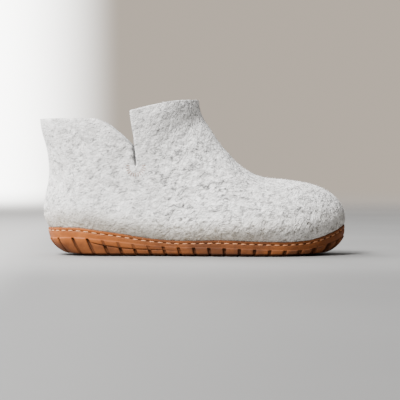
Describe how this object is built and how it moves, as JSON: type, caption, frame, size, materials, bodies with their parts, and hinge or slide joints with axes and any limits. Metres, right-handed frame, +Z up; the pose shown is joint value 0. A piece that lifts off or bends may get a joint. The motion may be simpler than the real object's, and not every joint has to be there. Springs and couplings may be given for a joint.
{
  "type": "felt slipper",
  "caption": "Ankle-height moulded felt slipper with a notched, slit collar, a loose insole and a stitched rubber cup sole with slanted side lugs.",
  "frame": {"origin": "on the floor, under the middle of the slipper's whole length and width", "axes": "+X towards the toe, +Y towards the inner side of the foot, +Z up"},
  "size_m": [0.2842, 0.105, 0.143],
  "materials": {
    "felt": "matt light grey wool felt with darker flecks",
    "rubber": "caramel natural rubber with a soft satin skin",
    "insole_felt": "matt pressed wool felt"
  },
  "bodies": {
    "root": {"upper": "felt", "sole": "rubber", "insole": "insole_felt"}
  },
  "joints": []
}
